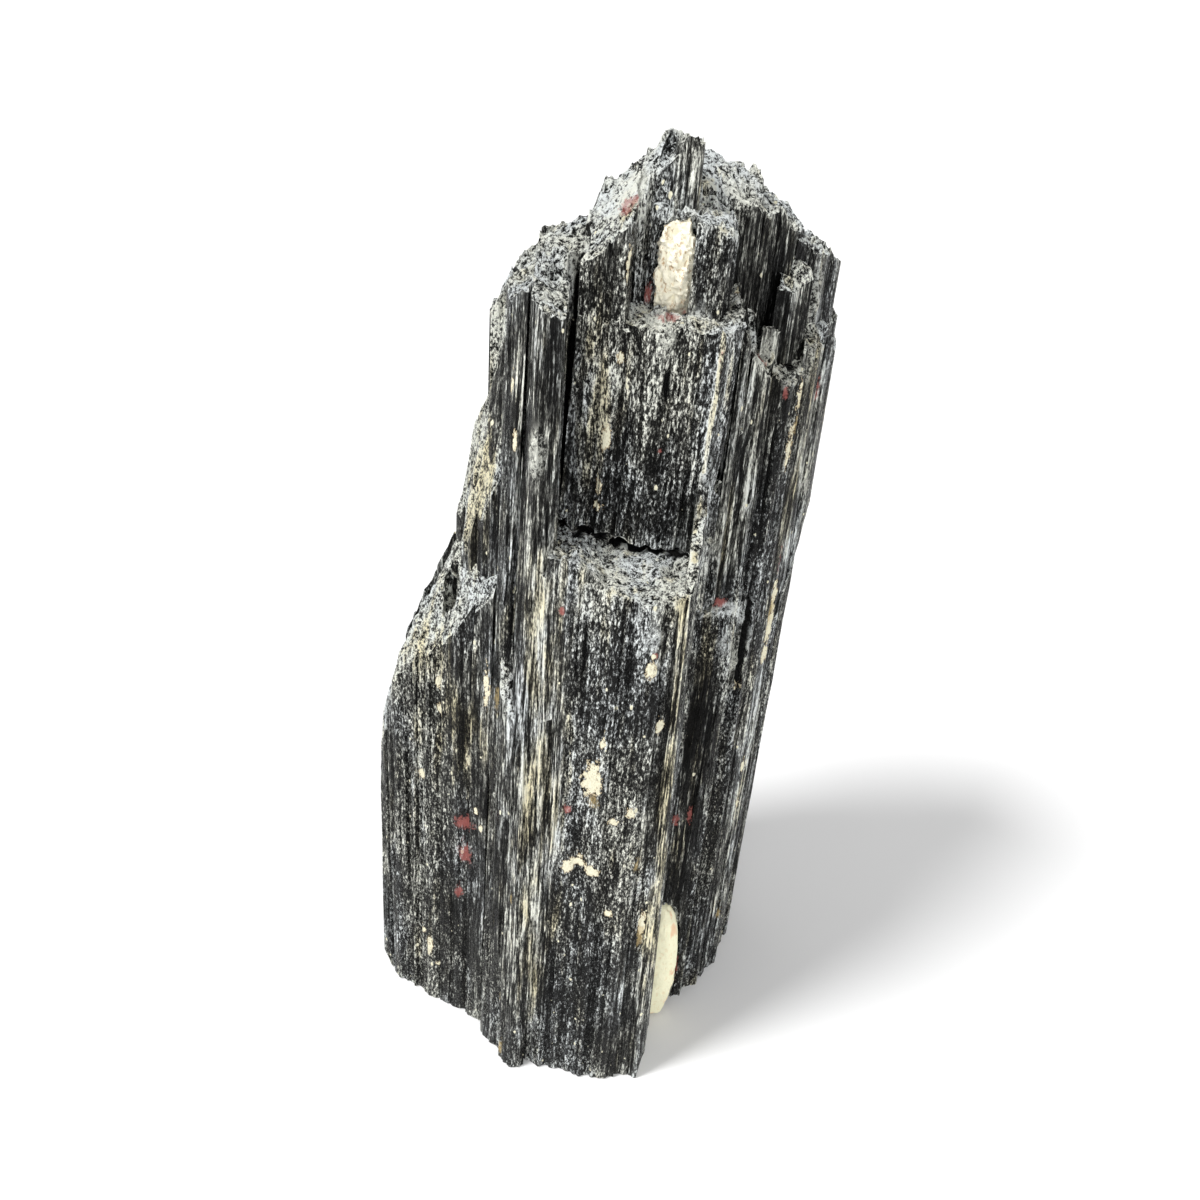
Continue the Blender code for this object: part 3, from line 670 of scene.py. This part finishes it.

# %% [markdown]
# ## The finish of the tourmaline
#
# Black tourmaline is glassy and nearly black. What makes it look grey is on its surface: fine pale
# streaks along the prisms, where the ribs are worn, and tiny bright specks. Its glassy faces glint as
# well, and here those glints are painted into the pale streaks. Broken ends are grains of black glass
# and pale dust, with painted glints and painted facet shading.
#
# A flat picture of some stone could be wrapped round it, but would smear on the sides. Here every
# pattern is worked out in the stone's own coordinates, from a few nodes that are linked one to the
# next. Short helpers keep those links readable.

# %% Helpers that add nodes
def feed(tree, socket, value):
    """Links a socket to another node's output, or sets its number or colour."""
    if isinstance(value, bpy.types.NodeSocket):
        tree.links.new(value, socket)
    elif socket.type == "RGBA":
        socket.default_value = (*value, 1.0)
    else:
        socket.default_value = value


def add(tree, kind, **settings):
    """Adds a node and sets its sockets by name."""
    made = tree.nodes.new(kind)
    for name, value in settings.items():
        feed(tree, made.inputs[name.replace("_", " ")], value)
    return made


def maths(tree, operation, *values):
    made = tree.nodes.new("ShaderNodeMath")
    made.operation = operation
    for socket, value in zip(made.inputs, values):
        feed(tree, socket, value)
    return made.outputs[0]


def sum_of(tree, first, second, share=1.0):
    """first + second * share"""
    return maths(tree, "MULTIPLY_ADD", second, share, first)


def between(tree, value, low, high):
    """0 at low and beyond it, 1 at high and beyond it, smooth between."""
    made = add(tree, "ShaderNodeMapRange", Value=value, From_Min=low, From_Max=high)
    made.interpolation_type = "SMOOTHSTEP"
    return made.outputs[0]


STONE_IOR = 1.6
STONE_SHINE = 0.09

tourmaline.use_nodes = True
tree = tourmaline.node_tree
shader = tree.nodes["Principled BSDF"]
shader.inputs["IOR"].default_value = STONE_IOR
shader.inputs["Specular IOR Level"].default_value = STONE_SHINE
print(f"the finish starts from {len(tree.nodes)} nodes")

# %% [markdown]
# ## Patterns
#
# Smooth noise looks like dust, and Voronoi cells look like flakes with sharp edges. Squeezing the
# coordinates along Z stretches either of them into streaks, so one helper makes both long lines and
# round grains.

# %% Make the patterns that several layers share
PER_MILLIMETRE = 1000


def stretched(tree, along):
    """The stone's own coordinates in millimetres, squeezed along Z."""
    scale = (PER_MILLIMETRE, PER_MILLIMETRE, PER_MILLIMETRE * along)
    where = tree.nodes.new("ShaderNodeTexCoord").outputs["Object"]
    return add(tree, "ShaderNodeMapping", Vector=where, Scale=scale).outputs[0]


def speckle(tree, along, scale, detail=3.0, roughness=0.6):
    """Smooth noise, about 0.5 in the middle of its range."""
    where = stretched(tree, along)
    made = add(tree, "ShaderNodeTexNoise", Vector=where, Scale=scale, Detail=detail, Roughness=roughness)
    return made.outputs["Fac"]


def chips(tree, along, scale):
    """Cells with sharp edges, each with its own number from 0 to 1."""
    cells = add(tree, "ShaderNodeTexVoronoi", Vector=stretched(tree, along), Scale=scale)
    return add(tree, "ShaderNodeSeparateColor", Color=cells.outputs["Color"]).outputs["Red"]


def stored(tree, name):
    """Numbers that were stored on the points of the mesh."""
    made = tree.nodes.new("ShaderNodeAttribute")
    made.attribute_name = name
    return made.outputs["Fac"]


clusters = speckle(tree, along=0.40, scale=0.45, roughness=0.65)
grains = speckle(tree, along=0.8, scale=4.2, roughness=0.75)
lumps = speckle(tree, along=1.0, scale=0.8)
ragged = speckle(tree, along=0.6, scale=1.6, roughness=0.7)
print("shared patterns:", len(tree.nodes), "nodes")

# %% [markdown]
# ## The worn sides
#
# Some sides are lined from end to end, others show only short scratches. So there are two patterns.
# The stored zones choose between them, helped by a very slow noise where no zone was drawn.

# %% Streak the sides
THREAD_TO_DASH = 0.35
DASH_TO_CURL = 0.6
CHIP_SHARE = 0.13
DRIFT_FROM = 0.45
DRIFT_TO = 0.60
DRIFT_SHARE = 0.7


def blend(tree, factor, first, second, kind="Color", how="MIX"):
    """first where factor is 0, second where it is 1"""
    made = tree.nodes.new("ShaderNodeMix")
    made.data_type = "RGBA" if kind == "Color" else "FLOAT"
    made.blend_type = how
    for name, value in (("Factor_Float", factor), ("A_" + kind, first), ("B_" + kind, second)):
        feed(tree, next(s for s in made.inputs if s.identifier == name), value)
    return next(s for s in made.outputs if s.identifier == "Result_" + kind)


def blend_numbers(tree, factor, first, second):
    return blend(tree, factor, first, second, "Float")


threads = speckle(tree, along=0.05, scale=4.0, roughness=0.75)
dashes = speckle(tree, along=0.25, scale=6.5, detail=2.0, roughness=0.7)
curls = speckle(tree, along=0.5, scale=4.8, detail=2.0, roughness=0.8)
blades = chips(tree, along=0.07, scale=3.4)
splinters = chips(tree, along=0.28, scale=4.2)
long_lines = sum_of(tree, blend_numbers(tree, THREAD_TO_DASH, threads, dashes), blades, CHIP_SHARE)
short_grains = sum_of(tree, blend_numbers(tree, DASH_TO_CURL, dashes, curls), splinters, CHIP_SHARE)

drift = between(tree, speckle(tree, along=0.3, scale=0.12), DRIFT_FROM, DRIFT_TO)
lined = sum_of(tree, stored(tree, "lined"), drift, DRIFT_SHARE)
lined = maths(tree, "MINIMUM", maths(tree, "MAXIMUM", lined, 0.0), 1.0)
streaks = blend_numbers(tree, lined, short_grains, long_lines)
streaks = maths(tree, "SUBTRACT", streaks, CHIP_SHARE / 2)
print("with streaks:", len(tree.nodes), "nodes")

# %% [markdown]
# ## Wear, painted light and shade, crests and broken grains
#
# The streaks are one number at each spot. Wear and crests push that number up, painted shade and
# hollows push it down, and a ramp turns it into a grey. Most of the ramp is nearly black, and its last
# part rises quickly, so only the peaks of the pattern turn pale, and those pale peaks are dust and
# painted glints together. Broken ends get a pattern and a ramp of their own, with painted facet shading.

# %% Push the patterns up where the stone is worn, and down where shade is painted
WEAR_AND_SHADE_ON_SIDES = 0.5
WEAR_AND_SHADE_ON_ENDS = 0.10
SHIFT_SHARE = 0.33
CREST_SHARE = 0.05
LUMP_SHARE = 0.25
SMALL_FACET_SHADING_SHARE = 0.6
FACET_SHADING_SHARE = 0.15
FACET_MIDDLE = 0.12

# the wear zones raise the streaks where the stone is rubbed pale, and lower them where shade is painted
shift = sum_of(tree, maths(tree, "SUBTRACT", clusters, 0.5), stored(tree, "wear_and_shade"), WEAR_AND_SHADE_ON_SIDES)
side_level = sum_of(tree, streaks, shift, SHIFT_SHARE)
# crests painted paler, part wear and part painted highlight, and hollows painted darker as painted shade
side_level = sum_of(tree, side_level, stored(tree, "crest"), CREST_SHARE)

# painted light and shade: each Voronoi cell on a broken end gets its own grey, as if each small facet faced
# the light at its own angle
large_facet_shading = chips(tree, along=0.8, scale=2.6)
facet_shading = sum_of(tree, large_facet_shading, chips(tree, along=0.8, scale=5.0), SMALL_FACET_SHADING_SHARE)
end_level = blend_numbers(tree, LUMP_SHARE, grains, lumps)
end_level = sum_of(tree, maths(tree, "SUBTRACT", end_level, FACET_MIDDLE), facet_shading, FACET_SHADING_SHARE)
end_level = sum_of(tree, end_level, stored(tree, "crest"), CREST_SHARE)
end_level = sum_of(tree, end_level, stored(tree, "wear_and_shade"), WEAR_AND_SHADE_ON_ENDS)

broken = maths(tree, "ADD", stored(tree, "broken"), stored(tree, "rough"))
broken = maths(tree, "MAXIMUM", broken, 0.0)
print("with wear and broken grains:", len(tree.nodes), "nodes")

# %% Turn the patterns into greys, painting glints into the palest
# a place on the pattern's range, and the grey there
# the palest greys of both ramps are pale dust and painted glints together
SIDE_TONES = ((0.40, 0.002), (0.47, 0.012), (0.52, 0.042), (0.57, 0.14), (0.61, 0.45), (0.67, 0.95))
BREAK_TONES = ((0.39, 0.004), (0.45, 0.07), (0.49, 0.38), (0.54, 0.85), (0.59, 1.0))


def tones(tree, value, stops):
    """A ramp of greys: each stop is a place on the ramp and a grey."""
    made = add(tree, "ShaderNodeValToRGB", Fac=value)
    ramp = made.color_ramp
    while len(ramp.elements) < len(stops):
        ramp.elements.new(0.5)
    for element, (place, grey) in zip(ramp.elements, stops):
        element.position = place
        element.color = (grey, grey, grey, 1.0)
    return made.outputs["Color"]


def blend_colours(tree, factor, first, second, how="MIX"):
    return blend(tree, factor, first, second, "Color", how)


side_grey_and_glints = tones(tree, side_level, SIDE_TONES)
end_grey_and_painted_light = tones(tree, end_level, BREAK_TONES)
colour = blend_colours(tree, broken, side_grey_and_glints, end_grey_and_painted_light)
print(f"greys from {SIDE_TONES[0][1]} to {SIDE_TONES[-1][1]} on the sides")

# %% [markdown]
# ## Tints
#
# A stone in plain greys looks like a drawing. The real pale dust leans to green in places and to blue
# in others, and in the beige zones it is warm. Multiplying by a light tint changes the pale parts and
# leaves the black ones black. Worn spots are also duller, so the roughness follows the same pattern.

# %% Tint the greys
GREENISH = (0.99, 1.0, 0.90)
BLUISH = (0.94, 0.985, 0.98)
BEIGE = (1.0, 0.91, 0.70)
CAST_FROM = 0.42
CAST_TO = 0.60
BEIGE_SHARE = 0.35
WARM_FROM = 0.52
WARM_TO = 0.80
POLISHED_AT = 0.30
MATT_AT = 0.9
BROKEN_ROUGHNESS = 0.45

cast = between(tree, speckle(tree, along=0.3, scale=0.16), CAST_FROM, CAST_TO)
colour = blend_colours(tree, 1.0, colour, blend_colours(tree, cast, GREENISH, BLUISH), "MULTIPLY")
warm = sum_of(tree, speckle(tree, along=0.15, scale=0.6), stored(tree, "beige"), BEIGE_SHARE)
warm = between(tree, warm, WARM_FROM, WARM_TO)
colour = blend_colours(tree, warm, colour, blend_colours(tree, 1.0, colour, BEIGE, "MULTIPLY"))
side_roughness = between(tree, side_level, POLISHED_AT, MATT_AT)
roughness = blend_numbers(tree, broken, side_roughness, BROKEN_ROUGHNESS)
print("with tints:", len(tree.nodes), "nodes")

# %% [markdown]
# ## Specks and open cracks
#
# Tiny specks of feldspar lie all over the stone, in loose swarms. The distance to the nearest Voronoi
# point is smallest at that point, so a low limit on it leaves one small dot to each cell. Noise moves
# the limit up and down, which makes the swarms. The grooves that were pressed in are painted black,
# because hardly any light reaches the bottom of a crack.

# %% Add the specks and darken the cracks
CREAM = (0.95, 0.91, 0.70)
CRACK_BLACK = (0.004, 0.004, 0.004)
SPECK_LENGTH = 0.6
SPECKS_PER_MILLIMETRE = 0.6
SWARM_SHARE = -0.5
RAGGED_SHARE = 0.3
SPECK_RIM = -0.03
SPECK_HEART = -0.06
DARK_FROM = 0.15
DARK_TO = 0.7

speck_place = stretched(tree, SPECK_LENGTH)
speck_cells = add(tree, "ShaderNodeTexVoronoi", Vector=speck_place, Scale=SPECKS_PER_MILLIMETRE)
speck = sum_of(tree, speck_cells.outputs["Distance"], clusters, SWARM_SHARE)
speck = sum_of(tree, speck, ragged, RAGGED_SHARE)
colour = blend_colours(tree, between(tree, speck, SPECK_RIM, SPECK_HEART), colour, CREAM)
crack = between(tree, stored(tree, "sunk"), DARK_FROM, DARK_TO)
colour = blend_colours(tree, crack, colour, CRACK_BLACK)
print("with specks and cracks:", len(tree.nodes), "nodes")

# %% [markdown]
# ## Flecks and stains on top
#
# The stored ellipses have smooth edges, and real flecks are ragged. Adding noise to the stored number
# before it is cut off frays the edge. A fleck of feldspar has a darker rim, where the film thins out.

# %% Lay the flecks and stains over the rest
CREAM_DARK = (0.45, 0.33, 0.18)
IRON_RED = (0.50, 0.16, 0.14)
OCHRE = (0.62, 0.47, 0.22)
STAIN_ROUGHNESS = 0.8
FRAY_WIDE = 2.3
FRAY_FINE = 1.1
FRAY_MIDDLE = 1.7
DARK_GRAIN = 0.30
PALE_GRAIN = 0.42
RIM_OUTSIDE = 0.16
RIM_INSIDE = 0.34

fray = sum_of(tree, maths(tree, "MULTIPLY", ragged, FRAY_WIDE), grains, FRAY_FINE)
fray = maths(tree, "SUBTRACT", fray, FRAY_MIDDLE)
rim = between(tree, sum_of(tree, stored(tree, "cream"), fray), RIM_OUTSIDE, RIM_INSIDE)
pale = maths(tree, "MULTIPLY", between(tree, grains, DARK_GRAIN, PALE_GRAIN), rim)
cream_paint = blend_colours(tree, pale, CREAM_DARK, CREAM)
# the stored name, where it starts and where it is full, how much it covers, and its colour
STAIN_LAYERS = (
    ("red", 0.05, 0.55, 0.65, IRON_RED),
    ("cream", 0.12, 0.18, 1.0, cream_paint),
    ("ochre", 0.10, 0.75, 0.6, OCHRE),
)
for name, starts, full, share, paint in STAIN_LAYERS:
    edge = sum_of(tree, stored(tree, name), fray)
    mask = maths(tree, "MULTIPLY", between(tree, edge, starts, full), share)
    colour = blend_colours(tree, mask, colour, paint)
    roughness = blend_numbers(tree, mask, roughness, STAIN_ROUGHNESS)
tree.links.new(colour, shader.inputs["Base Color"])
tree.links.new(roughness, shader.inputs["Roughness"])
print("with stains:", ", ".join(layer[0] for layer in STAIN_LAYERS))

# %% [markdown]
# ## Relief too fine for the mesh
#
# Scratches and dust stand only hundredths of a millimetre high. Points that close would be far too
# many, so a bump node tilts the light instead. It uses the same patterns as the colour, and so pale
# streaks catch the light where they are seen.

# %% Tilt the light on streaks and grains
BUMP_STRENGTH = 0.9
BUMP_HEIGHT = 0.8 * MM

relief = blend_numbers(tree, broken, streaks, grains)
bump = add(tree, "ShaderNodeBump", Height=relief, Strength=BUMP_STRENGTH, Distance=BUMP_HEIGHT)
tree.links.new(bump.outputs[0], shader.inputs["Normal"])
print("tourmaline finish:", len(tree.nodes), "nodes")

# %% [markdown]
# ## The two lumps of feldspar
#
# The lump in the hollow under the spire is ragged and crumbly. The one at the foot of the groove is
# worn smooth. Each starts from its solid, remeshed into small even faces so that lumps and pits can
# be pushed into it in any direction.

# %% Remesh and roughen the lumps
LUMP_VOXEL = 0.22 * MM
FLUTE_DEPTH = 0.50
CRUMB_DEPTH = 0.35
CRUMBLED_AWAY = 0.20
SWELL_DEPTH = 0.14
FAINT_GRAIN = 0.04
WORN_AWAY = 0.05


def lump_mesh(node, roughen):
    """A finely remeshed copy of a solid, with every point moved along its normal."""
    source = copy_of_solid(node)
    mesh = bpy.data.meshes.new("remesh")
    source.to_mesh(mesh)
    source.free()
    holder = bpy.data.objects.new("remesh", mesh)
    bpy.context.scene.collection.objects.link(holder)
    modifier = holder.modifiers.new("voxels", "REMESH")
    modifier.mode = "VOXEL"
    modifier.voxel_size = LUMP_VOXEL
    graph = bpy.context.evaluated_depsgraph_get()
    bm = bmesh.new()
    bm.from_mesh(holder.evaluated_get(graph).data)
    bpy.data.objects.remove(holder)
    bm.normal_update()
    moved = [v.co + v.normal * roughen(v.co / MM) * MM for v in bm.verts]
    for point, place in zip(bm.verts, moved):
        point.co = (place.x, place.y, max(place.z, 0.0))
    return bm


def crumbly(place):
    """Short upright flutes and coarse crumbs, in millimetres."""
    flutes = noise.noise(squeezed(place, 1.6, 0.5))
    crumbs = noise.noise(place * 2.4)
    return FLUTE_DEPTH * flutes + CRUMB_DEPTH * crumbs - CRUMBLED_AWAY


def water_worn(place):
    """Low swells with a faint grain, in millimetres."""
    swells = noise.noise(place * 0.8)
    grains = noise.noise(place * 3.0)
    return SWELL_DEPTH * swells + FAINT_GRAIN * grains - WORN_AWAY


crumb_mesh = lump_mesh("feldspar_crust", crumbly)
pebble_mesh = lump_mesh("feldspar_lens", water_worn)
print(f"crumbly lump: {len(crumb_mesh.faces)} faces, smooth lump: {len(pebble_mesh.faces)} faces")

# %% [markdown]
# ## The finish of the feldspar
#
# Feldspar is cream and dull. Darker dust sits between its grains, and iron stains it in soft patches,
# most of all at the foot of the smooth lump. Both finishes need the same few nodes with other colours,
# so one helper makes both.

# %% Finish the lumps
FELDSPAR_ROUGHNESS = 0.8
DUST_FROM = 0.33
DUST_TO = 0.47
STAIN_FADE = 0.12
FOOT_STAIN = 0.14
LUMP_BUMP_STRENGTH = 0.7
LUMP_BUMP_HEIGHT = 0.3 * MM
CRUMB_PALE = (0.92, 0.88, 0.72)
CRUMB_DARK = (0.50, 0.35, 0.20)
CRUMB_STAIN_FROM = 0.64
# the smooth lump's pale cream is painted brighter than its own colour, as painted light that makes up for
# the shade it sits in
PEBBLE_PALE_AND_LIT = (1.0, 0.97, 0.70)
PEBBLE_DARK = (0.92, 0.82, 0.54)
PEBBLE_STAIN = (0.92, 0.66, 0.42)
PEBBLE_STAIN_FROM = 0.62
PEBBLE_FOOT = 5.0


def feldspar_finish(name, pale, dark, stain, stain_from, foot=0.0):
    """Cream grains with darker dust, and stained patches, more of them below the height of the foot."""
    made = bpy.data.materials.new(name)
    made.use_nodes = True
    tree = made.node_tree
    shader = tree.nodes["Principled BSDF"]
    shader.inputs["Roughness"].default_value = FELDSPAR_ROUGHNESS
    grains = speckle(tree, along=0.6, scale=2.2, detail=4.0, roughness=0.7)
    colour = blend_colours(tree, between(tree, grains, DUST_FROM, DUST_TO), dark, pale)
    patches = speckle(tree, along=0.5, scale=0.5)
    if foot:
        up = add(tree, "ShaderNodeSeparateXYZ", Vector=stretched(tree, 1.0)).outputs["Z"]
        patches = sum_of(tree, patches, between(tree, up, foot, 0.0), FOOT_STAIN)
    stained = between(tree, patches, stain_from, stain_from + STAIN_FADE)
    colour = blend_colours(tree, stained, colour, stain)
    tree.links.new(colour, shader.inputs["Base Color"])
    bump = add(
        tree, "ShaderNodeBump", Height=grains, Strength=LUMP_BUMP_STRENGTH, Distance=LUMP_BUMP_HEIGHT
    )
    tree.links.new(bump.outputs[0], shader.inputs["Normal"])
    return made


crumb_finish = feldspar_finish("crumbly feldspar", CRUMB_PALE, CRUMB_DARK, IRON_RED, CRUMB_STAIN_FROM)
pebble_finish = feldspar_finish(
    "smooth feldspar", PEBBLE_PALE_AND_LIT, PEBBLE_DARK, PEBBLE_STAIN, PEBBLE_STAIN_FROM, PEBBLE_FOOT
)
finish_piece("feldspar_crumb", crumb_mesh, "feldspar_crust", crumb_finish)
finish_piece("feldspar_pebble", pebble_mesh, "feldspar_lens", pebble_finish)

# %% [markdown]
# ## The size of the dressed stone
#
# Dressing the stone shouldn't make it bigger. The box of the solids and the box of what shows are
# written side by side, to be compared.

# %% Print the boxes side by side
DRESSED_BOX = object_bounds()


for side, solid, dressed in zip("xyz", SOLID_BOX[1] - SOLID_BOX[0], DRESSED_BOX[1] - DRESSED_BOX[0]):
    print(f"{side}: solids {solid / MM:.1f} mm, dressed {dressed / MM:.1f} mm")
